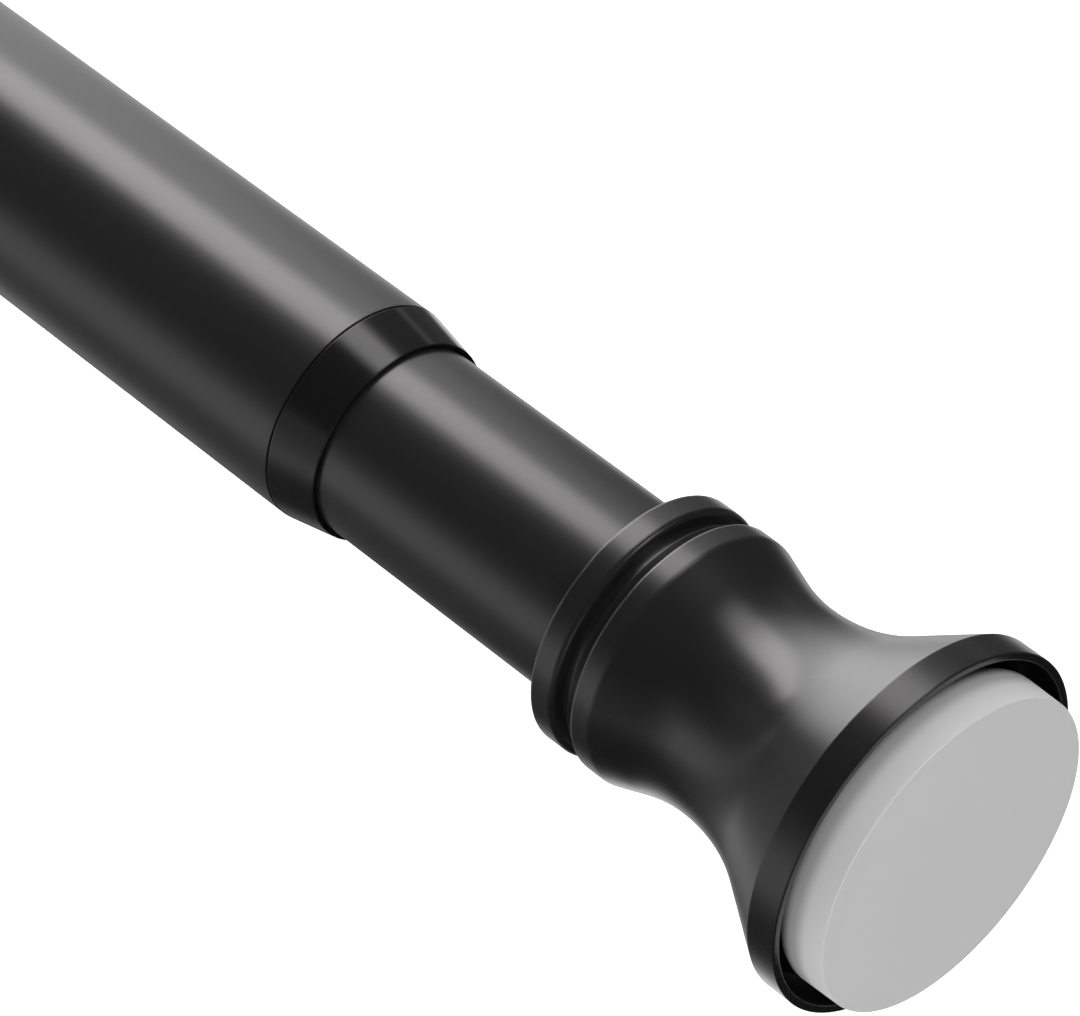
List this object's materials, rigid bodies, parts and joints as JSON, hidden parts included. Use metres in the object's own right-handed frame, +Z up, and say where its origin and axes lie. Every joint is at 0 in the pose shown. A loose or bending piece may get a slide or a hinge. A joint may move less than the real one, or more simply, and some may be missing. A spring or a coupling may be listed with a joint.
{
  "type": "spring tension rod",
  "caption": "Telescoping spring tension rod with a tapered collar, bell-shaped end caps, rubber wall pads and a twist lock and spring inside.",
  "frame": {"origin": "centre of the fixed end's wall face, on the rod's axis", "axes": "+X along the rod from the fixed end to the moving end, +Z up"},
  "size_m": [0.644, 0.0402, 0.0402],
  "materials": {
    "tube_black": "satin black powder coat",
    "collar_black": "glossy moulded plastic",
    "cap_black": "satin moulded plastic",
    "pad_grey": "soft light grey rubber",
    "inner_plastic": "natural moulded plastic",
    "zinc_steel": "zinc plated",
    "spring_steel": "oiled spring wire"
  },
  "bodies": {
    "root": {"outer_tube": "tube_black", "mouth_collar": "collar_black", "fixed_cap_ring": "cap_black", "fixed_end_cap": "cap_black", "fixed_tube_plug": "inner_plastic", "fixed_cap_screw": "zinc_steel", "fixed_wall_pad": "pad_grey"},
    "expander": {"expander_sleeve": "inner_plastic"},
    "wedge": {"wedge_nut": "inner_plastic"},
    "core": {"hex_shaft": "inner_plastic", "lock_stud": "zinc_steel", "stud_stop_ring": "zinc_steel", "spring_follower": "inner_plastic", "follower_retainer": "zinc_steel", "compression_spring": "spring_steel"},
    "inner": {"inner_tube": "tube_black", "guide_bush": "inner_plastic", "spring_seat": "inner_plastic", "moving_cap_ring": "cap_black", "moving_end_cap": "cap_black", "moving_tube_plug": "inner_plastic", "moving_cap_screw": "zinc_steel", "moving_wall_pad": "pad_grey"}
  },
  "joints": [
    {"name": "length_slide", "type": "slide", "parent": "root", "child": "expander", "axis": [1, 0, 0], "range_m": [-0.014, 0.27]},
    {"name": "twist_lock", "type": "hinge", "parent": "expander", "child": "core", "pos_m": [0.1444, 0, 0], "axis": [-1, 0, 0], "range_deg": [0, 540]},
    {"name": "wedge_feed", "type": "slide", "parent": "expander", "child": "wedge", "axis": [1, 0, 0], "range_m": [0, 0.0046]},
    {"name": "spring_press", "type": "slide", "parent": "core", "child": "inner", "axis": [-1, 0, 0], "range_m": [0, 0.02], "stiffness_N_per_m": 1500, "springref_m": -0.012, "deforming": ["compression_spring"]}
  ],
  "couplings": [
    {"joint": "wedge_feed", "follows": "twist_lock", "m_per_rad": 0.00047746}
  ]
}
